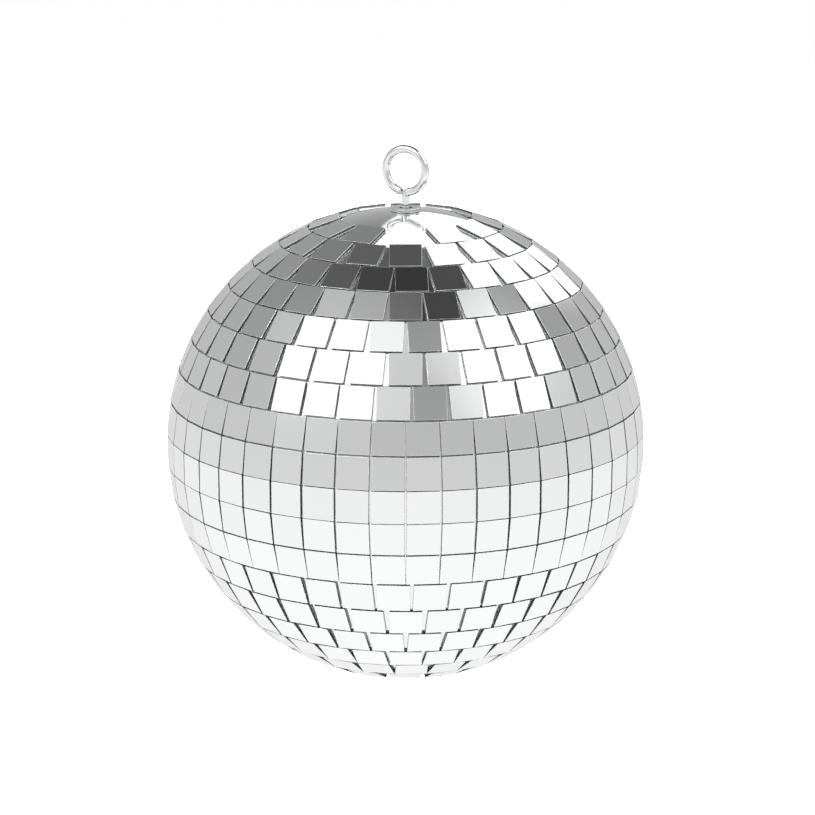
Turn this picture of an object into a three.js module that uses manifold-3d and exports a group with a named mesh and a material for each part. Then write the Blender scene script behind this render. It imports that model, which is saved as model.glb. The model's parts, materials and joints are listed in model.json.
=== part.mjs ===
// A 150 mm mirror ball that hangs from, and turns under, a wire eye.
//
// The ball is a hollow white core in two halves, covered with nineteen rows of square mirror tiles.
// Each row is one strip: its tiles stand on a thin backing band, flat and tangent to the ball.
// A domed cap closes each pole. An eyelet clamps the top cap, the core and a dished plate together,
// and the stem of the eye passes loosely through it, so that the ball can turn on its washers.
//
// Units are millimetres and +Z is up. The origin is the highest point inside the eye's ring, where a
// hook carries it. Heights below are measured from the ball's centre, which hangs under the origin.

import * as THREE from 'three';
import { mergeVertices } from 'three/addons/utils/BufferGeometryUtils.js';
import Module from 'manifold-3d';

const wasm = await Module();
wasm.setup();

// ---------- driving dimensions ----------

const ballRadius = 75; // to the face of a tile, at its middle
const tileSize = 9.75; // square
const tileThickness = 1;
const backingThickness = 0.9;
const backingInset = 0.5; // of the band's edges from the edges of its tiles
const fitGap = 0.3; // between a piece and the one that it is glued or clamped to

const rowPitch = THREE.MathUtils.degToRad(7.814); // from one row of tiles to the next
const lastRow = 9; // rows run from -9 in the south to 9 in the north

// One entry for each row from the belly to a pole; both halves of the ball are laid out alike.
// firstGap is the angle from +X, in degrees, of one joint between two tiles.
const rowLayouts = [
  { tiles: 45, firstGap: 0 },
  { tiles: 45, firstGap: 0 },
  { tiles: 45, firstGap: 0 },
  { tiles: 40, firstGap: 0.5 },
  { tiles: 36, firstGap: 1 },
  { tiles: 33, firstGap: 1.5 },
  { tiles: 30, firstGap: 2 },
  { tiles: 25, firstGap: 3.2 },
  { tiles: 18, firstGap: 6 },
  { tiles: 12, firstGap: 11 },
];

const coreWall = 1.8;
const joiningRingHeight = 14;
const joiningRingWall = 1.5;

const capRadius = 19.6;
const capSheet = 0.6;
const plateRadius = 15;
const plateSheet = 1.2;

const wireRadius = 1.4;
const eyeRadius = 6.7; // of the wire's centre line
const eyeHeight = 86.2; // of the ring's centre, above the ball's centre

const eyeletBore = 2.1;
const eyeletSleeve = 2.5;
const eyeletFlange = 4.65;
const eyeletFlangeSheet = 0.9;
const eyeletHole = 2.8; // radius of the hole that the eyelet passes through

const washerHole = 1.7;
const thrustWasherRadius = 4.6;
const thrustWasherThickness = 0.8;
const plainWasherRadius = 4.4;
const plainWasherThickness = 0.8;
const ferruleRadius = 2.7;
const ferruleBore = 1.55;
const ferruleLength = 5;
const stemTail = 0.8; // of wire left under the ferrule
const stackGap = 0.1; // between the pieces threaded on the stem

// ---------- derived dimensions ----------

const backingRadius = ballRadius - tileThickness - backingThickness;
const coreRadius = backingRadius - fitGap;
const coreBore = coreRadius - coreWall;
const capInside = coreRadius + fitGap;
const capOutside = capInside + capSheet;
const plateOutside = coreBore - 2 * fitGap;
const plateInside = plateOutside - plateSheet;

const eyeletTop = capOutside + stackGap + eyeletFlangeSheet;
const eyeletFoot = plateInside - fitGap - eyeletFlangeSheet;
const thrustWasherTop = eyeletFoot - fitGap;
const plainWasherTop = thrustWasherTop - thrustWasherThickness - stackGap;
const ferruleTop = plainWasherTop - plainWasherThickness - stackGap;
const stemFoot = ferruleTop - ferruleLength - stemTail;

const hangHeight = eyeHeight + eyeRadius - wireRadius; // of the origin, above the ball's centre

const coreSides = 24; // of the core and what is fixed inside it
const capSides = 30;
const smallSides = 16; // of a washer or sleeve

// ---------- materials ----------

const mirrorGlass = new THREE.MeshStandardMaterial({
  name: 'mirror_tile', color: 0xeef0f2, metalness: 1, roughness: 0.03,
});
const polishedCap = new THREE.MeshStandardMaterial({
  name: 'polished_cap', color: 0xd9dbde, metalness: 1, roughness: 0.08,
});
const brightWire = new THREE.MeshStandardMaterial({
  name: 'bright_wire', color: 0xe2e3e6, metalness: 1, roughness: 0.12,
});
const whitePlastic = new THREE.MeshStandardMaterial({
  name: 'white_plastic', color: 0xf1f0ec, metalness: 0, roughness: 0.6,
});
const platedSteel = new THREE.MeshStandardMaterial({
  name: 'plated_steel', color: 0xb9bcc0, metalness: 1, roughness: 0.3,
});
const nylon = new THREE.MeshStandardMaterial({
  name: 'nylon', color: 0xe9e6dc, metalness: 0, roughness: 0.5,
});

// ---------- solids ----------

// A closed mesh as a solid that can be joined and cut.
function solidOf(geometry) {
  const bare = geometry.clone();
  bare.deleteAttribute('normal');
  bare.deleteAttribute('uv');
  const merged = mergeVertices(bare);
  return new wasm.Manifold(new wasm.Mesh({
    numProp: 3,
    vertProperties: new Float32Array(merged.attributes.position.array),
    triVerts: new Uint32Array(merged.index.array),
  }));
}

function geometryOf(solid) {
  const { vertProperties, triVerts } = solid.getMesh();
  const geometry = new THREE.BufferGeometry();
  geometry.setAttribute('position', new THREE.Float32BufferAttribute(vertProperties, 3));
  geometry.setIndex(new THREE.Uint32BufferAttribute(triVerts, 1));
  return geometry;
}

// A closed profile of [radius, height] points, listed up the outside and back down the inside,
// turned about Z.
function turned(profile, sides) {
  const first = profile[0];
  const points = [...profile, first].map(([radius, height]) => new THREE.Vector2(radius, height));
  return new THREE.LatheGeometry(points, sides).rotateX(Math.PI / 2);
}

// Points along a circle about the ball's centre, from one polar angle (0 at the north pole) to another.
function arc(radius, fromAngle, toAngle, steps) {
  const points = [];
  for (let step = 0; step <= steps; step += 1) {
    const angle = fromAngle + (toAngle - fromAngle) * step / steps;
    points.push([radius * Math.sin(angle), radius * Math.cos(angle)]);
  }
  return points;
}

// A dish of constant thickness about the ball's centre, with a round hole in the middle or none.
function dish(outside, inside, rimRadius, holeRadius, sides) {
  const steps = 5;
  return turned([
    ...arc(outside, Math.asin(rimRadius / outside), Math.asin(holeRadius / outside), steps),
    ...arc(inside, Math.asin(holeRadius / inside), Math.asin(rimRadius / inside), steps),
  ], sides);
}

// A plain ring, such as a washer, hanging down from the height top.
function ring(top, height, outerRadius, innerRadius, sides) {
  return turned([
    [outerRadius, top - height],
    [outerRadius, top],
    [innerRadius, top],
    [innerRadius, top - height],
  ], sides);
}

// ---------- mirror rows ----------

// A point near the place on the ball at this latitude and angle: at a distance radius from the ball's
// centre along the normal there, then eastward and northward in the tangent plane.
function nearBall(latitude, angle, radius, eastward, northward) {
  const outward = radius * Math.cos(latitude) - northward * Math.sin(latitude);
  return [
    outward * Math.cos(angle) - eastward * Math.sin(angle),
    outward * Math.sin(angle) + eastward * Math.cos(angle),
    radius * Math.sin(latitude) + northward * Math.cos(latitude),
  ];
}

// A strip is a chain of sections round the ball. Each section has four corners: its outside edge,
// south then north, and its inside edge, north then south. Every tile adds four sections: the near
// and far sides of its face, the foot of its far side, and the foot of the next tile's near side.
// The wedge of air between two tiles so has square walls and a floor of backing.
function rowSections(latitude, tiles, startAngle) {
  const half = tileSize / 2;
  const step = 2 * Math.PI / tiles;
  const floorRadius = ballRadius - tileThickness;
  const bandHalf = half - backingInset;
  const spread = (1 + 1 / Math.cos(step / 2)) / 2; // sets flats and corners equally off a true round
  const edge = (angle, radius, eastward) => [
    nearBall(latitude, angle, radius, eastward, -half),
    nearBall(latitude, angle, radius, eastward, half),
  ];
  const inside = (angle) => [bandHalf, -bandHalf].map((northward) => {
    const [x, y, z] = nearBall(latitude, angle, backingRadius, 0, northward);
    return [x * spread, y * spread, z];
  });
  const sections = [];
  for (let tile = 0; tile < tiles; tile += 1) {
    const nearGap = startAngle + tile * step;
    const middle = nearGap + step / 2;
    const farGap = nearGap + step;
    sections.push(
      [...edge(middle, ballRadius, -half), ...inside(nearGap)],
      [...edge(middle, ballRadius, half), ...inside(farGap)],
      [...edge(middle, floorRadius, half), ...inside(farGap)],
      [...edge(middle + step, floorRadius, -half), ...inside(farGap)],
    );
  }
  return sections;
}

// Joins each section to the next, and the last to the first. Where two sections share an edge,
// the quad between them has no area, and welding the shared corners takes it away.
function loft(sections) {
  const corners = sections[0].length;
  const indices = [];
  for (let section = 0; section < sections.length; section += 1) {
    const here = section * corners;
    const next = (section + 1) % sections.length * corners;
    for (let corner = 0; corner < corners; corner += 1) {
      const following = (corner + 1) % corners;
      indices.push(here + corner, next + corner, next + following);
      indices.push(here + corner, next + following, here + following);
    }
  }
  const geometry = new THREE.BufferGeometry();
  geometry.setAttribute('position', new THREE.Float32BufferAttribute(sections.flat(2), 3));
  geometry.setIndex(indices);
  return weld(geometry);
}

function weld(geometry) {
  const welded = mergeVertices(geometry);
  const indices = [];
  for (let start = 0; start < welded.index.count; start += 3) {
    const [a, b, c] = welded.index.array.slice(start, start + 3);
    if (a !== b && b !== c && c !== a) {
      indices.push(a, b, c);
    }
  }
  welded.setIndex(indices);
  return welded;
}

function mirrorRow(row) {
  const { tiles, firstGap } = rowLayouts[Math.abs(row)];
  return loft(rowSections(row * rowPitch, tiles, THREE.MathUtils.degToRad(firstGap)));
}

function rowName(row) {
  if (row === 0) {
    return 'mirror_row_equator';
  }
  return row > 0 ? `mirror_row_north_${row}` : `mirror_row_south_${-row}`;
}

// ---------- core ----------

// Half of the hollow core, from its rim just clear of the equator up to a hole at the pole.
function halfCore(holeRadius) {
  const rimAngle = (radius) => Math.acos(fitGap / 2 / radius);
  const arcSteps = 8;
  return turned([
    ...arc(coreRadius, rimAngle(coreRadius), Math.asin(holeRadius / coreRadius), arcSteps),
    ...arc(coreBore, Math.asin(holeRadius / coreBore), rimAngle(coreBore), arcSteps),
  ], coreSides);
}

function upperCoreShell() {
  return halfCore(eyeletHole);
}

// The lower half has no hole, and is the same shape the other way up.
function lowerCoreShell() {
  return halfCore(0).rotateX(Math.PI);
}

function joiningRing() {
  const outerRadius = coreBore * Math.cos(Math.PI / coreSides) - 2 * fitGap;
  return ring(joiningRingHeight / 2, joiningRingHeight, outerRadius, outerRadius - joiningRingWall, coreSides);
}

// ---------- caps, plate and eyelet ----------

function topCap() {
  return dish(capOutside, capInside, capRadius, eyeletHole, capSides);
}

function innerPlate() {
  return dish(plateOutside, plateInside, plateRadius, eyeletHole, coreSides);
}

function bottomCap() {
  return dish(capOutside, capInside, capRadius, 0, capSides).rotateX(Math.PI);
}

// A sleeve with a flange over the cap and another rolled out under the plate.
function capEyelet() {
  return turned([
    [eyeletFlange, eyeletFoot],
    [eyeletFlange, eyeletFoot + eyeletFlangeSheet],
    [eyeletSleeve, eyeletFoot + eyeletFlangeSheet],
    [eyeletSleeve, eyeletTop - eyeletFlangeSheet],
    [eyeletFlange, eyeletTop - eyeletFlangeSheet],
    [eyeletFlange, eyeletTop],
    [eyeletBore, eyeletTop],
    [eyeletBore, eyeletFoot],
  ], smallSides);
}

// ---------- eye and what holds it ----------

// The wire is bent into a ring that stands in the XZ plane, on a straight stem.
function hangingEye() {
  const loop = new THREE.TorusGeometry(eyeRadius, wireRadius, 10, 30);
  loop.rotateX(Math.PI / 2).translate(0, 0, eyeHeight);
  const stemLength = eyeHeight - eyeRadius - stemFoot;
  const stem = new THREE.CylinderGeometry(wireRadius, wireRadius, stemLength, 10);
  stem.rotateX(Math.PI / 2).translate(0, 0, stemFoot + stemLength / 2);
  return geometryOf(solidOf(loop).add(solidOf(stem)));
}

function thrustWasher() {
  return ring(thrustWasherTop, thrustWasherThickness, thrustWasherRadius, washerHole, smallSides);
}

function plainWasher() {
  return ring(plainWasherTop, plainWasherThickness, plainWasherRadius, washerHole, smallSides);
}

function crimpFerrule() {
  return ring(ferruleTop, ferruleLength, ferruleRadius, ferruleBore, smallSides);
}

// ---------- assembly ----------

function piece(name, geometry, material) {
  const mesh = new THREE.Mesh(geometry, material);
  mesh.name = name;
  return mesh;
}

const mirrorBall = new THREE.Group();
mirrorBall.name = 'mirror_ball';
mirrorBall.position.z = -hangHeight;

mirrorBall.add(
  piece('hanging_eye', hangingEye(), brightWire),
  piece('thrust_washer', thrustWasher(), nylon),
  piece('plain_washer', plainWasher(), platedSteel),
  piece('crimp_ferrule', crimpFerrule(), platedSteel),
  piece('cap_eyelet', capEyelet(), polishedCap),
  piece('top_cap', topCap(), polishedCap),
  piece('inner_plate', innerPlate(), platedSteel),
  piece('upper_core_shell', upperCoreShell(), whitePlastic),
  piece('joining_ring', joiningRing(), whitePlastic),
  piece('lower_core_shell', lowerCoreShell(), whitePlastic),
  piece('bottom_cap', bottomCap(), polishedCap),
);

for (let row = lastRow; row >= -lastRow; row -= 1) {
  mirrorBall.add(piece(rowName(row), mirrorRow(row), mirrorGlass));
}

export default mirrorBall;
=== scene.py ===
"""A 150 mm mirror ball that hangs from a wire eye: the visual model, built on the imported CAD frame.

Sizes are in millimetres and heights are measured from the ball's centre, as in the CAD source.
Meshes are scaled to metres and moved to the ball's place in the frame as they are made.
"""

import json
import math
import random
from collections import namedtuple

import bpy
from mathutils import Matrix, Vector


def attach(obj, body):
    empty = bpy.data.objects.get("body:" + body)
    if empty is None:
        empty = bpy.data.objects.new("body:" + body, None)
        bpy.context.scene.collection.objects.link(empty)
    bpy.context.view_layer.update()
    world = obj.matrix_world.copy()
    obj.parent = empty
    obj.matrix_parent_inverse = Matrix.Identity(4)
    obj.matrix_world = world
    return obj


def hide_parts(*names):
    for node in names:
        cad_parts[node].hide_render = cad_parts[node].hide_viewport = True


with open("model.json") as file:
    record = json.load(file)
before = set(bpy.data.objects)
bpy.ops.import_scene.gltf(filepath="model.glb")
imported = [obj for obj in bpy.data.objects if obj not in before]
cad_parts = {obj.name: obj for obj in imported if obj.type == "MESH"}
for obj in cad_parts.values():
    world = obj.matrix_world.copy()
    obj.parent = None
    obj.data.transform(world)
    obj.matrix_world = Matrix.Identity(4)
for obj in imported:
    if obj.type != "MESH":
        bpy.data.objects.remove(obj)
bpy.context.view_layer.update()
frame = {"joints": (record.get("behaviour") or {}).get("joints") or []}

MM = 0.001
BALL_CENTRE = Vector(frame["joints"][0]["pos_m"])

# ---------- sizes of the mirror rows ----------

BALL_RADIUS = 75.0  # to the face of a tile, at its middle
TILE_SIZE = 9.75
TILE_THICKNESS = 1.0
TILE_CORNER = 0.22  # radius of a tile's corners, seen from above
ARRIS = 0.06  # width of the ground edge round a tile's face
LIT_LIP_DEPTH = 0.26  # how far down a tile's side its paler colour reaches: painted light for the lit top of a joint's wall
PAINT_LINE = 0.12  # how far up a tile's side its back paint reaches
BACK_CHAMFER = 0.04
ROW_PITCH = math.radians(7.814)
LAST_ROW = 9

# Tiles and the angle from +X of one joint, in degrees, from the belly to a pole.
ROW_LAYOUTS = (
    (45, 0.0),
    (45, 0.0),
    (45, 0.0),
    (40, 0.5),
    (36, 1.0),
    (33, 1.5),
    (30, 2.0),
    (25, 3.2),
    (18, 6.0),
    (12, 11.0),
)

# How far north of its even place each row near the belly was set by hand.
ROW_SLIPS = {
    3: -0.1,
    2: -0.2,
    1: -0.24,
    0: -0.02,
    -1: 0.22,
    -2: 0.22,
    -3: 0.18,
    -4: 0.02,
    -5: -0.14,
    -6: -0.2,
    -7: -0.1,
}

# How far a tile strays when it is glued down: in degrees, then in millimetres.
TURN_SPREAD = 0.22
TILT_SPREAD = 0.24
TILT_LIMIT = 0.7
SLIP_SPREAD = 0.025
LEAST_SINK = 0.015
MOST_SINK = 0.045
LAST_TRUE_ROW = 6  # rows nearer a pole than this are turned more
POLE_LOOSENESS = 0.4  # what each of those rows adds to the turn, as a share
ROW_SEED = 100  # a row's own seed is this plus its number

# An inside or an outside, here and below, is a radius about the ball's centre.
BACKING_INSIDE = 73.1
BACKING_OUTSIDE = 73.93
STRIP_ROUNDING = 0.1
STRIP_GAP = 0.03  # from the line where two strips would meet to the edge of each
STRIP_MARGIN = 0.08  # how far the last strip's edge lies inside its tiles' edge
ROUND_MIDDLE = 0.3  # where the middle of a corner cut in two lies, as a share of the corner's size

# ---------- sizes of the core, the caps and the eyelet ----------

CORE_OUTSIDE = 72.8
CORE_INSIDE = 71.0
CORE_GAP = 0.15  # from the equator to the edge of each half
JOINING_RING = 70.4  # outside radius, clear of the core's bore
JOINING_RING_WALL = 1.5
JOINING_RING_HEIGHT = 14.0

CAP_RADIUS = 19.6  # from the axis to the rim, as the plate's is
CAP_OUTSIDE = 73.7
CAP_INSIDE = 73.1
PLATE_RADIUS = 15.0
PLATE_OUTSIDE = 70.4
PLATE_INSIDE = 69.2
EYELET_HOLE = 2.8  # radius of the hole for the eyelet in the cap, the core and the plate

EYELET_BORE = 2.1
EYELET_SLEEVE = 2.5
EYELET_FLANGE = 4.65
EYELET_SHEET = 0.9  # thickness of its metal
EYELET_TOP = 74.7
EYELET_RIM = 73.62  # underside of the flange's edge, which is dished down to the cap
EYELET_FOOT = 68.0

# ---------- sizes of the eye and what holds it ----------

# The outer radius, top and height of each.
THRUST_WASHER = (4.6, 67.7, 0.8)
PLAIN_WASHER = (4.4, 66.8, 0.8)
FERRULE = (2.7, 65.9, 5.0)
WASHER_HOLE = 1.7
FERRULE_BORE = 1.55
CRIMP_DEPTH = 0.25
CRIMPS = (0.68, 0.32)  # how far down the ferrule its two crimps are, as shares of its length
CRIMP_ENDS = (0.8, 0.2)  # the same for the ends of the crimped stretch

WIRE_RADIUS = 1.4
EYE_RADIUS = 6.7
EYE_HEIGHT = 86.2
EYE_END = 12.5  # degrees between the end of the wire and the bottom of the ring
STEM_FOOT = 60.1
STEM_BEND = 1.7  # radius of the wire's bend from the stem into the ring

# The rounded ends of the wire: distances along it, and how much thinner it is there.
STEM_END = ((0.0, 0.16), (0.06, 0.06), (0.2, 0.0))
RING_END = (0.06, 0.05)

# How far the edges of the turned pieces are rounded.
CORE_EDGE = 0.3
JOINING_RING_EDGE = 0.4
CAP_EDGE = 0.28
PLATE_EDGE = 0.3
EYELET_EDGE = 0.16
THRUST_WASHER_EDGE = 0.15
PLAIN_WASHER_EDGE = 0.12
FERRULE_EDGE = 0.3


# ---------- node helpers ----------


def add_node(tree, kind, inputs=(), **settings):
    """A node with its settings made and its inputs either linked or filled."""
    node = tree.nodes.new(kind)
    for key, value in settings.items():
        setattr(node, key, value)
    for key, value in dict(inputs).items():
        if isinstance(value, bpy.types.NodeSocket):
            tree.links.new(value, node.inputs[key])
        else:
            node.inputs[key].default_value = value
    return node


def calculate(tree, operation, *values):
    """The result of a Math node."""
    return add_node(tree, "ShaderNodeMath", enumerate(values), operation=operation).outputs[0]


def dot(tree, direction, axis):
    """How far a direction goes along a fixed axis."""
    inputs = {0: direction, 1: tuple(axis)}
    return add_node(tree, "ShaderNodeVectorMath", inputs, operation="DOT_PRODUCT").outputs["Value"]


def map_range(tree, value, low, high, new_low=0.0, new_high=1.0, interpolation="LINEAR"):
    inputs = {"Value": value, "From Min": low, "From Max": high, "To Min": new_low, "To Max": new_high}
    node = add_node(tree, "ShaderNodeMapRange", inputs, interpolation_type=interpolation)
    return node.outputs["Result"]


def noise(tree, per_metre, detail=2.0, stretch=(1.0, 1.0, 1.0)):
    """Noise in the piece's own coordinates, with about per_metre blobs to the metre."""
    place = add_node(tree, "ShaderNodeTexCoord").outputs["Object"]
    scaled = add_node(tree, "ShaderNodeMapping", {"Vector": place, "Scale": stretch}).outputs["Vector"]
    inputs = {"Vector": scaled, "Scale": per_metre, "Detail": detail}
    return add_node(tree, "ShaderNodeTexNoise", inputs).outputs["Fac"]


def bump(tree, height, depth_mm, normal=None):
    """A bump whose white parts stand depth_mm proud of its black parts."""
    inputs = {"Height": height, "Strength": 1.0, "Distance": depth_mm * MM}
    if normal is not None:
        inputs["Normal"] = normal
    return add_node(tree, "ShaderNodeBump", inputs).outputs["Normal"]


def colour_between(tree, factor, first, second):
    """A blend of two colours. A Mix node's colour sockets share their names, so they go by number."""
    inputs = {0: factor, 6: (*first, 1.0), 7: (*second, 1.0)}
    return add_node(tree, "ShaderNodeMix", inputs, data_type="RGBA").outputs[2]


def new_material(name, **values):
    """A material, its node tree and its Principled shader, with the given sockets filled."""
    material = bpy.data.materials.new(name)
    material.use_nodes = True
    tree = material.node_tree
    shader = tree.nodes["Principled BSDF"]
    for socket, value in values.items():
        shader.inputs[socket.replace("_", " ")].default_value = value
    return material, tree, shader


def feed(tree, shader, **links):
    """Links each value to the shader's socket of that name."""
    for socket, value in links.items():
        tree.links.new(value, shader.inputs[socket.replace("_", " ")])


# ---------- materials ----------


def mirror_material():
    """Silvered glass: each tile is a shade lighter or darker, faintly wavy, with a film of dust."""
    material, tree, shader = new_material("mirror_tile", Metallic=1.0)
    shade = add_node(tree, "ShaderNodeAttribute", attribute_name="tile_shade").outputs["Fac"]
    dust = noise(tree, 420.0, 4.0)
    feed(
        tree,
        shader,
        Base_Color=colour_between(tree, shade, (0.88, 0.885, 0.888), (0.915, 0.92, 0.92)),
        Roughness=map_range(tree, dust, 0.35, 0.75, 0.0, 0.014),
        Normal=bump(tree, noise(tree, 140.0, 1.0), 0.004),
    )
    return material


def shaded_glass_edge_material():
    """The snapped side of a tile: fairly smooth glass with pale chips, painted near-black as the shade deep
    in the joints.
    """
    material, tree, shader = new_material("tile_cut_edge_painted_shade", IOR=1.52)
    chips = noise(tree, 2600.0, 3.0)
    feed(
        tree,
        shader,
        # painted shade: the near-black colour stands for the shade deep in the joints between tiles
        Base_Color=colour_between(
            tree, map_range(tree, chips, 0.35, 0.75), (0.005, 0.007, 0.0065), (0.028, 0.032, 0.031)
        ),
        Roughness=map_range(tree, chips, 0.3, 0.7, 0.1, 0.24),
        Normal=bump(tree, chips, 0.004),
    )
    return material


def lit_lip_material():
    """The upper part of a tile's side, with nicks, painted paler than the rest as the light that reaches
    the top of a joint.
    """
    material, tree, shader = new_material("tile_lip_painted_light", IOR=1.52)
    nicks = noise(tree, 1900.0, 3.0)
    feed(
        tree,
        shader,
        # painted light: the paler colour stands for the light on the top of a joint's wall
        Base_Color=colour_between(tree, nicks, (0.04, 0.044, 0.043), (0.075, 0.081, 0.079)),
        Roughness=map_range(tree, nicks, 0.3, 0.7, 0.18, 0.34),
        Normal=bump(tree, nicks, 0.005),
    )
    return material


def arris_material():
    """The narrow ground line between a tile's face and its side, a little duller than the face."""
    material, tree, shader = new_material("tile_arris", Metallic=0.9)
    nicks = noise(tree, 2300.0, 2.0)
    feed(
        tree,
        shader,
        Base_Color=colour_between(tree, nicks, (0.6, 0.62, 0.615), (0.78, 0.8, 0.795)),
        Roughness=map_range(tree, nicks, 0.3, 0.7, 0.05, 0.16),
        Normal=bump(tree, nicks, 0.004),
    )
    return material


def back_paint_material():
    """The grey paint that protects the silver."""
    material, tree, shader = new_material("tile_back_paint")
    specks = noise(tree, 1500.0, 3.0)
    feed(
        tree,
        shader,
        Base_Color=colour_between(tree, specks, (0.12, 0.125, 0.13), (0.2, 0.205, 0.21)),
        Roughness=map_range(tree, specks, 0.3, 0.7, 0.5, 0.75),
        Normal=bump(tree, specks, 0.01),
    )
    return material


def backing_material():
    """The silvered film that the tiles are glued to, faintly crinkled and with a fine weave under it."""
    material, tree, shader = new_material("silver_backing", Metallic=1.0)
    place = add_node(tree, "ShaderNodeTexCoord").outputs["Object"]
    threads = [
        add_node(
            tree,
            "ShaderNodeTexWave",
            {"Vector": place, "Scale": 1250.0, "Distortion": 1.2, "Detail": 2.0},
            bands_direction=direction,
        ).outputs["Fac"]
        for direction in ("Z", "DIAGONAL")
    ]
    weave = calculate(tree, "MULTIPLY", *threads)
    crinkles = noise(tree, 420.0, 3.0)
    feed(
        tree,
        shader,
        Base_Color=colour_between(tree, crinkles, (0.8, 0.805, 0.81), (0.9, 0.905, 0.91)),
        Roughness=map_range(tree, weave, 0.0, 1.0, 0.05, 0.11),
        Normal=bump(tree, weave, 0.0004, bump(tree, crinkles, 0.004)),
    )
    return material


def chrome_material(name, dark, light, smooth, rough, wave_mm):
    """Polished plate: nearly even, with a cloudy polish and fine scratches."""
    material, tree, shader = new_material(name, Metallic=1.0)
    clouds = noise(tree, 160.0, 5.0)
    scratches = noise(tree, 3200.0, 2.0, stretch=(1.0, 0.12, 1.0))
    polish = map_range(tree, clouds, 0.3, 0.7, smooth, rough)
    cut = map_range(tree, scratches, 0.6, 0.75, 0.0, 0.03)
    shaped = bump(tree, noise(tree, 110.0, 1.0), wave_mm)
    feed(
        tree,
        shader,
        Base_Color=colour_between(tree, clouds, dark, light),
        Roughness=calculate(tree, "ADD", polish, cut),
        Normal=bump(tree, scratches, 0.0006, shaped),
    )
    return material


def plated_steel_material():
    """Zinc plate, brushed round by the tool that formed it."""
    material, tree, shader = new_material("plated_steel", Metallic=1.0)
    brushing = noise(tree, 900.0, 3.0, stretch=(1.0, 1.0, 9.0))
    blotches = noise(tree, 130.0, 3.0)
    feed(
        tree,
        shader,
        Base_Color=colour_between(tree, blotches, (0.5, 0.51, 0.52), (0.66, 0.67, 0.68)),
        Roughness=map_range(tree, brushing, 0.3, 0.7, 0.24, 0.42),
        Normal=bump(tree, brushing, 0.01),
    )
    return material


def plastic_material(name, dark, light, **values):
    """Moulded plastic with a fine spark finish."""
    material, tree, shader = new_material(name, **values)
    grain = noise(tree, 2400.0, 3.0)
    flow = noise(tree, 40.0, 3.0)
    feed(
        tree,
        shader,
        Base_Color=colour_between(tree, flow, dark, light),
        Roughness=map_range(tree, grain, 0.3, 0.7, 0.42, 0.6),
        Normal=bump(tree, grain, 0.012),
    )
    return material


MIRROR = mirror_material()
GLASS_EDGE_PAINTED_SHADE = shaded_glass_edge_material()
TILE_LIP_PAINTED_LIGHT = lit_lip_material()
TILE_ARRIS = arris_material()
BACK_PAINT = back_paint_material()
BACKING = backing_material()
CAP_CHROME = chrome_material("polished_cap", (0.78, 0.785, 0.79), (0.84, 0.845, 0.85), 0.012, 0.03, 0.012)
WIRE_CHROME = chrome_material("bright_wire", (0.86, 0.865, 0.87), (0.92, 0.925, 0.93), 0.02, 0.05, 0.006)
PLATED_STEEL = plated_steel_material()
WHITE_PLASTIC = plastic_material("white_plastic", (0.78, 0.78, 0.77), (0.84, 0.84, 0.83))
NYLON = plastic_material("nylon", (0.76, 0.74, 0.68), (0.83, 0.81, 0.76), Subsurface_Weight=0.1)


# ---------- mesh helpers ----------


def make_piece(name, points, faces, materials, body, nodes, face_materials=None):
    """A mesh piece from points in millimetres about the ball's centre, riding on a body of the frame."""
    mesh = bpy.data.meshes.new(name)
    mesh.from_pydata([Vector(point) * MM + BALL_CENTRE for point in points], [], faces)
    for material in materials:
        mesh.materials.append(material)
    if face_materials:
        mesh.polygons.foreach_set("material_index", face_materials)
    mesh.validate()
    piece = bpy.data.objects.new(name, mesh)
    bpy.context.collection.objects.link(piece)
    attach(piece, body)
    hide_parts(*nodes)
    return piece


SHARP_EDGE = 40.0  # degrees between two faces above which the edge between them stays sharp
ALONG_AN_ARC = 150.0  # degrees inside a profile's corner above which it is part of an arc
MOST_OF_A_SIDE = 0.45  # share of a profile's side that one rounded corner may take


def shade_smooth(piece):
    """Smooth shading that keeps large flats flat and stays sharp at steeper edges."""
    piece.data.shade_smooth()
    piece.data.set_sharp_from_angle(angle=math.radians(SHARP_EDGE))
    weighted = piece.modifiers.new("weighted", "WEIGHTED_NORMAL")
    weighted.keep_sharp = True


def softened(profile, radius, steps=4):
    """A closed profile with each real corner rounded by about this radius. Those along an arc stay."""
    result = []
    for index, corner in enumerate(profile):
        here = Vector(corner)
        back = Vector(profile[index - 1]) - here
        ahead = Vector(profile[(index + 1) % len(profile)]) - here
        inner = back.angle(ahead)
        if math.degrees(inner) > ALONG_AN_ARC or here.x == 0.0:
            result.append(tuple(here))
            continue
        cut = min(radius / math.tan(inner / 2), MOST_OF_A_SIDE * back.length, MOST_OF_A_SIDE * ahead.length)
        start = here + back.normalized() * cut
        end = here + ahead.normalized() * cut
        for step in range(steps + 1):
            share = step / steps
            spot = start * (1 - share) ** 2 + here * 2 * share * (1 - share) + end * share**2
            result.append(tuple(spot))
    return result


def lathe(name, profile, material, body, node, sides=96):
    """A closed profile of (radius, height) points turned about the ball's axis."""
    points = []
    columns = []
    for radius, height in profile:
        if radius == 0.0:
            columns.append([len(points)] * sides)
            points.append((0.0, 0.0, height))
            continue
        columns.append(range(len(points), len(points) + sides))
        for side in range(sides):
            angle = math.tau * side / sides
            points.append((radius * math.cos(angle), radius * math.sin(angle), height))
    faces = []
    for index, column in enumerate(columns):
        following = columns[(index + 1) % len(columns)]
        for side in range(sides):
            after = (side + 1) % sides
            quad = (column[side], column[after], following[after], following[side])
            corners = tuple(dict.fromkeys(quad))
            if len(corners) > 2:
                faces.append(corners)
    shade_smooth(make_piece(name, points, faces, [material], body, [node]))


def arc(radius, start, end, steps):
    """Points about the ball's centre between two polar angles, 0 at the north pole."""
    angles = [start + (end - start) * step / steps for step in range(steps + 1)]
    return [(radius * math.sin(angle), radius * math.cos(angle)) for angle in angles]


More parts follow.
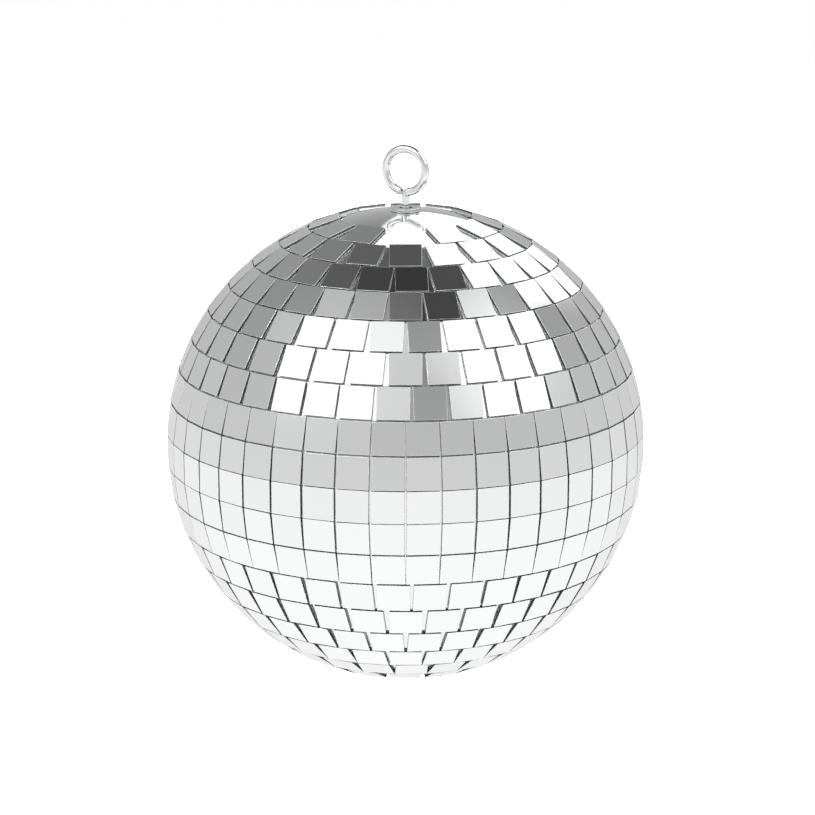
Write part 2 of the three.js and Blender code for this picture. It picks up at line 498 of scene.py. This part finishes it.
def dish(outside, inside, rim, hole):
    """The profile of a dish about the ball's centre, up its outside and back down its inside."""
    steps = 18
    first = arc(outside, math.asin(rim / outside), math.asin(hole / outside), steps)
    second = arc(inside, math.asin(hole / inside), math.asin(rim / inside), steps)
    return first + second


def ring(outer, inner, top, height):
    """The profile of a plain ring."""
    return [(outer, top - height), (outer, top), (inner, top), (inner, top - height)]


def upside_down(profile):
    """A profile mirrored to the southern half of the ball."""
    return [(radius, -height) for radius, height in reversed(profile)]


# ---------- mirror rows ----------


def row_name(row):
    if row == 0:
        return "equator"
    return f"north_{row}" if row > 0 else f"south_{-row}"


def latitude_of(row):
    """Where the middle of a row is, its slip included."""
    return row * ROW_PITCH + ROW_SLIPS.get(row, 0.0) / BALL_RADIUS


def axes_at(latitude, angle):
    """The directions east, north and out at a place on the ball, as the columns of a matrix."""
    east = Vector((-math.sin(angle), math.cos(angle), 0.0))
    out = Vector((
        math.cos(latitude) * math.cos(angle),
        math.cos(latitude) * math.sin(angle),
        math.sin(latitude),
    ))
    return Matrix((east, out.cross(east), out)).transposed()


def tile_outline(inset):
    """A square with rounded corners, seen from above."""
    steps = 2
    half = TILE_SIZE / 2 - inset
    corner = TILE_CORNER - inset
    points = []
    for quarter in range(4):
        turn = math.tau * quarter / 4
        middle = Vector((half - corner, half - corner))
        for step in range(steps + 1):
            angle = math.tau / 4 * step / steps
            spot = middle + Vector((math.cos(angle), math.sin(angle))) * corner
            points.append((
                spot.x * math.cos(turn) - spot.y * math.sin(turn),
                spot.x * math.sin(turn) + spot.y * math.cos(turn),
            ))
    return points


TILE_MATERIALS = [MIRROR, GLASS_EDGE_PAINTED_SHADE, TILE_ARRIS, BACK_PAINT, TILE_LIP_PAINTED_LIGHT]
ON_FACE, ON_SHADED_EDGE, ON_ARRIS, ON_BACK, ON_LIT_LIP = range(len(TILE_MATERIALS))

# Each level of a tile from its back up: its inset, its depth under the face, and what the side above it is.
TILE_LEVELS = (
    (BACK_CHAMFER, TILE_THICKNESS, ON_BACK),
    (0.0, TILE_THICKNESS - BACK_CHAMFER, ON_BACK),
    # the side's glass is painted near-black below as shade in the joint, and paler at its lip as light
    (0.0, TILE_THICKNESS - PAINT_LINE, ON_SHADED_EDGE),
    (0.0, LIT_LIP_DEPTH, ON_LIT_LIP),
    (0.0, ARRIS, ON_ARRIS),
    (ROUND_MIDDLE * ARRIS, ROUND_MIDDLE * ARRIS, ON_ARRIS),
    (ARRIS, 0.0, ON_FACE),
)


def tile_template():
    """One tile about the middle of its face: its points, faces and the material of each face."""
    points = []
    faces = []
    materials = []
    for inset, depth, _ in TILE_LEVELS:
        points += [(east, north, -depth) for east, north in tile_outline(inset)]
    around = len(points) // len(TILE_LEVELS)
    for level, (_, _, material) in enumerate(TILE_LEVELS[:-1]):
        for step in range(around):
            after = (step + 1) % around
            low, high = level * around, (level + 1) * around
            faces.append((low + step, low + after, high + after, high + step))
            materials.append(material)
    faces.append(tuple(reversed(range(around))))
    materials.append(ON_BACK)
    faces.append(tuple(range(len(points) - around, len(points))))
    materials.append(ON_FACE)
    return points, faces, materials


def set_by_hand(chance, row):
    """The small turn, tilt and slip that a tile gets when its row is glued down."""
    loose = 1.0 + POLE_LOOSENESS * max(0, abs(row) - LAST_TRUE_ROW)
    turn = chance.gauss(0.0, TURN_SPREAD * loose)
    tilts = [max(-TILT_LIMIT, min(TILT_LIMIT, chance.gauss(0.0, TILT_SPREAD))) for _ in range(2)]
    east, north = (chance.gauss(0.0, SLIP_SPREAD) for _ in range(2))
    sink = chance.uniform(LEAST_SINK, MOST_SINK)
    return (
        Matrix.Translation((east, north, -sink))
        @ Matrix.Rotation(math.radians(turn), 4, "Z")
        @ Matrix.Rotation(math.radians(tilts[0]), 4, "X")
        @ Matrix.Rotation(math.radians(tilts[1]), 4, "Y")
    )


def mirror_tiles(row):
    """All the tiles of one row, as separate square slabs of mirror glass."""
    tiles, joint = ROW_LAYOUTS[abs(row)]
    chance = random.Random(ROW_SEED + row)
    template, template_faces, template_materials = tile_template()
    points = []
    faces = []
    materials = []
    shades = []
    for tile in range(tiles):
        angle = math.radians(joint) + math.tau * (tile + 0.5) / tiles
        axes = axes_at(latitude_of(row), angle).to_4x4()
        place = axes @ Matrix.Translation((0.0, 0.0, BALL_RADIUS)) @ set_by_hand(chance, row)
        start = len(points)
        points += [place @ Vector(point) for point in template]
        faces += [tuple(start + corner for corner in face) for face in template_faces]
        materials += template_materials
        shades += [chance.random()] * len(template_faces)
    piece = make_piece(
        f"tiles_{row_name(row)}",
        points,
        faces,
        TILE_MATERIALS,
        "ball",
        [f"mirror_row_{row_name(row)}"],
        materials,
    )
    attribute = piece.data.attributes.new("tile_shade", "FLOAT", "FACE")
    attribute.data.foreach_set("value", shades)


def strip_edge(row, neighbour, radius):
    """How far a row's strip reaches towards a neighbouring row before the two strips meet."""
    if abs(neighbour) > LAST_ROW:
        return TILE_SIZE / 2 - STRIP_MARGIN
    return radius * math.tan(abs(latitude_of(neighbour) - latitude_of(row)) / 2) - STRIP_GAP


def backing_strip(row):
    """The strip under a row of tiles. It lies flat under each tile and folds between two tiles."""
    tiles, joint = ROW_LAYOUTS[abs(row)]
    half = TILE_SIZE / 2
    cut = ROUND_MIDDLE * STRIP_ROUNDING
    section = []
    for side, neighbour in ((1, row + 1), (-1, row - 1)):
        inner = strip_edge(row, neighbour, BACKING_INSIDE)
        outer = strip_edge(row, neighbour, BACKING_OUTSIDE)
        edge = [
            (BACKING_INSIDE, side * inner),
            (BACKING_OUTSIDE - STRIP_ROUNDING, side * outer),
            (BACKING_OUTSIDE - cut, side * (outer - cut)),
            (BACKING_OUTSIDE, side * (outer - STRIP_ROUNDING)),
        ]
        section += edge if side < 0 else reversed(edge)
    points = []
    for tile in range(tiles):
        axes = axes_at(latitude_of(row), math.radians(joint) + math.tau * (tile + 0.5) / tiles)
        for side in (-half, half):
            points += [axes @ Vector((side, north, out)) for out, north in section]
    faces = []
    for start in range(0, len(points), len(section)):
        for corner in range(len(section)):
            after = (corner + 1) % len(section)
            ahead = (start + len(section)) % len(points)
            faces.append((start + corner, start + after, ahead + after, ahead + corner))
    make_piece(
        f"backing_{row_name(row)}",
        points,
        faces,
        [BACKING],
        "ball",
        [f"mirror_row_{row_name(row)}"],
    )


# ---------- core, caps and eyelet ----------


def core():
    """The two hollow halves that the strips are glued to, and the ring that joins them."""
    gap = math.acos(CORE_GAP / CORE_OUTSIDE)
    gap_inside = math.acos(CORE_GAP / CORE_INSIDE)
    for name, node, hole, flip in (
        ("core_upper", "upper_core_shell", EYELET_HOLE, False),
        ("core_lower", "lower_core_shell", 0.0, True),
    ):
        profile = [
            *arc(CORE_OUTSIDE, gap, math.asin(hole / CORE_OUTSIDE), steps=40),
            *arc(CORE_INSIDE, math.asin(hole / CORE_INSIDE), gap_inside, steps=40),
        ]
        if flip:
            profile = upside_down(profile)
        lathe(name, softened(profile, CORE_EDGE), WHITE_PLASTIC, "ball", node)
    inner = JOINING_RING - JOINING_RING_WALL
    profile = ring(JOINING_RING, inner, JOINING_RING_HEIGHT / 2, JOINING_RING_HEIGHT)
    profile = softened(profile, JOINING_RING_EDGE)
    lathe("core_joining_ring", profile, WHITE_PLASTIC, "ball", "joining_ring")


def caps():
    """The polished cap at each pole, and the plate under the top one."""
    top = softened(dish(CAP_OUTSIDE, CAP_INSIDE, CAP_RADIUS, EYELET_HOLE), CAP_EDGE)
    bottom = upside_down(softened(dish(CAP_OUTSIDE, CAP_INSIDE, CAP_RADIUS, 0.0), CAP_EDGE))
    plate = softened(dish(PLATE_OUTSIDE, PLATE_INSIDE, PLATE_RADIUS, EYELET_HOLE), PLATE_EDGE)
    lathe("cap_top", top, CAP_CHROME, "ball", "top_cap", sides=128)
    lathe("cap_bottom", bottom, CAP_CHROME, "ball", "bottom_cap", sides=128)
    lathe("plate_inner", plate, PLATED_STEEL, "ball", "inner_plate")


def eyelet():
    """The collar rolled over the cap, the core and the plate, which the stem passes through."""
    profile = softened(
        [
            (EYELET_FLANGE, EYELET_FOOT),
            (EYELET_FLANGE, EYELET_FOOT + EYELET_SHEET),
            (EYELET_SLEEVE, EYELET_FOOT + EYELET_SHEET),
            (EYELET_SLEEVE, EYELET_TOP - EYELET_SHEET),
            (EYELET_FLANGE, EYELET_RIM),
            (EYELET_FLANGE, EYELET_TOP),
            (EYELET_BORE, EYELET_TOP),
            (EYELET_BORE, EYELET_FOOT),
        ],
        EYELET_EDGE,
        steps=5,
    )
    lathe("eyelet_rolled", profile, CAP_CHROME, "ball", "cap_eyelet", sides=72)


# ---------- eye and what holds it ----------


def washers():
    """The nylon and steel washers that the ball hangs on, and the ferrule that carries them."""
    radius, top, thickness = THRUST_WASHER
    profile = softened(ring(radius, WASHER_HOLE, top, thickness), THRUST_WASHER_EDGE)
    lathe("washer_thrust", profile, NYLON, "hanger", "thrust_washer", sides=64)
    radius, top, thickness = PLAIN_WASHER
    profile = softened(ring(radius, WASHER_HOLE, top, thickness), PLAIN_WASHER_EDGE)
    lathe("washer_plain", profile, PLATED_STEEL, "hanger", "plain_washer", sides=64)
    radius, top, length = FERRULE
    low_crimp, high_crimp = [(radius - CRIMP_DEPTH, top - length * share) for share in CRIMPS]
    low_end, high_end = [(radius, top - share * length) for share in CRIMP_ENDS]
    sleeve = [(radius, top - length), low_end, low_crimp, (radius, top - length / 2)]
    sleeve += [high_crimp, high_end, (radius, top), (FERRULE_BORE, top), (FERRULE_BORE, top - length)]
    profile = softened(sleeve, FERRULE_EDGE)
    lathe("ferrule_crimped", profile, PLATED_STEEL, "hanger", "crimp_ferrule", sides=48)


def eye_path():
    """The wire's centre line in the XZ plane: up the stem, round the bend and once round the ring."""
    reach = math.sqrt((EYE_RADIUS + STEM_BEND) ** 2 - STEM_BEND**2)
    bend_height = EYE_HEIGHT - reach
    lean = math.atan2(STEM_BEND, reach)  # where the bend meets the ring, from straight down
    path = [(0.0, STEM_FOOT + distance) for distance, _ in STEM_END]
    path += [(0.0, STEM_FOOT + (bend_height - STEM_FOOT) * share) for share in (0.3, 0.6, 0.8, 0.93)]
    bend_steps = 14
    for step in range(bend_steps + 1):
        turned = (math.pi / 2 - lean) * step / bend_steps
        path.append((STEM_BEND * (1 - math.cos(turned)), bend_height + STEM_BEND * math.sin(turned)))
    first = lean - math.pi / 2
    last = math.radians(270.0 - EYE_END)
    ring_steps = 110
    for step in range(1, ring_steps + 1):
        angle = first + (last - first) * step / ring_steps
        path.append((EYE_RADIUS * math.cos(angle), EYE_HEIGHT + EYE_RADIUS * math.sin(angle)))
    return path


def hanging_eye():
    """The stem and the ring, one bent wire."""
    path = [Vector((across, 0.0, up)) for across, up in eye_path()]
    sideways = Vector((0.0, 1.0, 0.0))
    around = 32
    radii = [WIRE_RADIUS] * len(path)
    for index, (_, thinner) in enumerate(STEM_END):
        radii[index] -= thinner
    distance, thinner = RING_END
    path.append(path[-1] + (path[-1] - path[-2]).normalized() * distance)
    radii.append(WIRE_RADIUS - thinner)
    points = []
    for index, (spot, radius) in enumerate(zip(path, radii)):
        ahead = path[min(index + 1, len(path) - 1)] - path[max(index - 1, 0)]
        tangent = ahead.normalized()
        aside = Vector((tangent.z, 0.0, -tangent.x))
        for side in range(around):
            angle = math.tau * side / around
            points.append(spot + (aside * math.cos(angle) + sideways * math.sin(angle)) * radius)
    faces = []
    for index in range(len(path) - 1):
        for side in range(around):
            after = (side + 1) % around
            low, high = index * around, (index + 1) * around
            faces.append((low + side, low + after, high + after, high + side))
    faces.append(tuple(reversed(range(around))))
    faces.append(tuple(range(len(points) - around, len(points))))
    piece = make_piece("eye_wire", points, faces, [WIRE_CHROME], "hanger", ["hanging_eye"])
    shade_smooth(piece)


# ---------- studio ----------

CAMERA_AZIMUTH = math.radians(26.0)
CAMERA_ELEVATION = math.radians(15.3)
CAMERA_DISTANCE = 900.0
CAMERA_SENSOR = 36.0
CAMERA_LENS = 125.8
AIM_ABOVE = 10.27  # how far above and to the right of the ball's centre the camera looks
AIM_RIGHT = 0.6
FLOOR_DROP = 1000.0  # of the floor below the ball's centre
FLOOR_HALF = 8000.0  # half the side of the floor


def seen_from_camera(azimuth, elevation):
    """The unit vector at an azimuth, 0 towards the camera and positive to its right, and an elevation."""
    angle = math.radians(azimuth)
    rise = math.radians(elevation)
    towards = Vector((math.sin(CAMERA_AZIMUTH), -math.cos(CAMERA_AZIMUTH), 0.0))
    right = Vector((math.cos(CAMERA_AZIMUTH), math.sin(CAMERA_AZIMUTH), 0.0))
    level = towards * math.cos(angle) + right * math.sin(angle)
    return level * math.cos(rise) + Vector((0.0, 0.0, math.sin(rise)))


def make_camera():
    """The camera at the photograph's viewing angle."""
    camera = bpy.data.objects.new("camera", bpy.data.cameras.new("camera"))
    bpy.context.collection.objects.link(camera)
    back = seen_from_camera(0.0, math.degrees(CAMERA_ELEVATION))
    right = seen_from_camera(90.0, 0.0)
    camera.location = BALL_CENTRE + back * CAMERA_DISTANCE * MM
    aim = BALL_CENTRE + (back.cross(right) * AIM_ABOVE + right * AIM_RIGHT) * MM
    camera.rotation_euler = (aim - camera.location).to_track_quat("-Z", "Y").to_euler()
    camera.data.sensor_width = CAMERA_SENSOR
    camera.data.lens = CAMERA_LENS
    camera.data.clip_start = 0.01
    camera.data.clip_end = 50.0
    bpy.context.scene.camera = camera


# The room's brightness as shown on screen, by elevation in degrees: a white sweep below, a dark ceiling.
ROOM_TONES = (
    (-90, 0.985),
    (-40, 0.975),
    (-16, 0.94),
    (-8, 0.87),
    (0, 0.80),
    (10, 0.755),
    (20, 0.695),
    (30, 0.625),
    (40, 0.55),
    (50, 0.46),
    (60, 0.365),
    (75, 0.26),
    (90, 0.14),
)
MIRROR_RETURN = 0.9  # share of light that a tile sends back
SOFTBOX_WHITE = 1.1  # the most light that a softbox shows to a mirror
FAR_WALL = 0.8  # light of the wall behind the ball, as a share of the wall behind the camera
FAR_WALL_EDGE = 0.45  # cosine of the angle from straight behind the ball where that wall starts
FACING = 0.05  # least cosine of the angle to a softbox, which keeps it out of the opposite direction

# The way to a softbox and its roll are in degrees, and its half sides and soft edge are tangents.
# Its skirt is the light of its cloth, and its lamp is what matte surfaces see as well in its bright middle.
Softbox = namedtuple("Softbox", "azimuth elevation roll half_width half_height edge skirt lamp")
SOFTBOXES = (
    Softbox(-47, 47, 14, half_width=0.58, half_height=0.5, edge=0.32, skirt=1.0, lamp=48),
    Softbox(64, 43, -4, half_width=0.41, half_height=0.37, edge=0.16, skirt=3.7, lamp=15),
    Softbox(156, 38, 0, half_width=0.43, half_height=0.43, edge=0.03, skirt=2.7, lamp=24),
)
LAMP_STARTS = 0.95  # a softbox's light where its lamp begins to show, and where it is whole
LAMP_WHOLE = 0.99


def light_of(tone):
    """The light that shows as this tone on screen."""
    return tone / 12.92 if tone <= 0.04045 else ((tone + 0.055) / 1.055) ** 2.4


def room_gradient(tree, direction):
    """The room without its softboxes, by elevation alone."""
    height = add_node(tree, "ShaderNodeSeparateXYZ", {0: direction}).outputs["Z"]
    elevation = calculate(tree, "ARCSINE", height)
    place = map_range(tree, elevation, -math.pi / 2, math.pi / 2)
    ramp = add_node(tree, "ShaderNodeValToRGB", {"Fac": place})
    stops = ramp.color_ramp.elements
    while len(stops) < len(ROOM_TONES):
        stops.new(0.5)
    for stop, (degrees, tone) in zip(stops, ROOM_TONES):
        stop.position = (degrees + 90) / 180
        stop.color = (*[light_of(tone) / MIRROR_RETURN] * 3, 1.0)
    return ramp.outputs["Color"]


def softbox_light(tree, direction, matte, box):
    """The light of one soft-edged rectangle in this direction. Only matte surfaces see its lamp."""
    middle = seen_from_camera(box.azimuth, box.elevation)
    across = Vector((0.0, 0.0, 1.0)).cross(middle).normalized()
    up = middle.cross(across)
    spin = math.radians(box.roll)
    across, up = (
        across * math.cos(spin) + up * math.sin(spin),
        up * math.cos(spin) - across * math.sin(spin),
    )
    facing = dot(tree, direction, middle)
    light = calculate(tree, "GREATER_THAN", facing, FACING)
    for axis, half in ((across, box.half_width), (up, box.half_height)):
        offset = calculate(tree, "ABSOLUTE", calculate(tree, "DIVIDE", dot(tree, direction, axis), facing))
        inside = map_range(tree, offset, half + box.edge, half - box.edge, 0.0, 1.0, "SMOOTHSTEP")
        light = calculate(tree, "MULTIPLY", light, inside)
    light = calculate(tree, "MULTIPLY", light, box.skirt)
    lamp = map_range(tree, light, LAMP_STARTS, LAMP_WHOLE, 0.0, box.lamp, "SMOOTHSTEP")
    core = calculate(tree, "MULTIPLY", lamp, matte)
    return calculate(tree, "ADD", calculate(tree, "MINIMUM", light, SOFTBOX_WHITE), core)


def make_room():
    """Plain white to the camera, and a soft studio to everything that is lit or reflects."""
    world = bpy.data.worlds.new("studio")
    bpy.context.scene.world = world
    world.use_nodes = True
    tree = world.node_tree
    tree.nodes.clear()
    direction = add_node(tree, "ShaderNodeTexCoord").outputs["Generated"]
    path = add_node(tree, "ShaderNodeLightPath")
    matte = calculate(tree, "SUBTRACT", 1.0, path.outputs["Is Glossy Ray"])
    behind = dot(tree, direction, seen_from_camera(180.0, 0.0))
    dimming = map_range(tree, behind, FAR_WALL_EDGE, 1.0, 1.0, FAR_WALL)
    inputs = {0: room_gradient(tree, direction), "Scale": dimming}
    light = add_node(tree, "ShaderNodeVectorMath", inputs, operation="SCALE").outputs[0]
    for box in SOFTBOXES:
        inputs = {0: light, 1: softbox_light(tree, direction, matte, box)}
        light = add_node(tree, "ShaderNodeVectorMath", inputs, operation="ADD").outputs[0]
    studio = add_node(tree, "ShaderNodeBackground", {"Color": light}).outputs[0]
    white = add_node(tree, "ShaderNodeBackground", {"Color": (1.0, 1.0, 1.0, 1.0)}).outputs[0]
    inputs = {0: path.outputs["Is Camera Ray"], 1: studio, 2: white}
    both = add_node(tree, "ShaderNodeMixShader", inputs).outputs[0]
    add_node(tree, "ShaderNodeOutputWorld", {"Surface": both})


def make_floor():
    """A wide pale floor well below the ball. Reflections don't show it."""
    mesh = bpy.data.meshes.new("floor")
    half = FLOOR_HALF * MM
    height = BALL_CENTRE.z - FLOOR_DROP * MM
    corners = [(-half, -half, height), (half, -half, height), (half, half, height), (-half, half, height)]
    mesh.from_pydata(corners, [], [(0, 1, 2, 3)])
    material, tree, shader = new_material("floor", Roughness=0.9)
    tone = noise(tree, 3.0)
    feed(tree, shader, Base_Color=colour_between(tree, tone, (0.86, 0.86, 0.86), (0.88, 0.88, 0.88)))
    mesh.materials.append(material)
    floor = bpy.data.objects.new("floor", mesh)
    bpy.context.collection.objects.link(floor)
    floor.visible_glossy = False


# ---------- the scene ----------

make_camera()
make_room()
make_floor()

for row in range(LAST_ROW, -LAST_ROW - 1, -1):
    backing_strip(row)
    mirror_tiles(row)
core()
caps()
eyelet()
washers()
hanging_eye()

bpy.context.scene.view_settings.view_transform = "Standard"
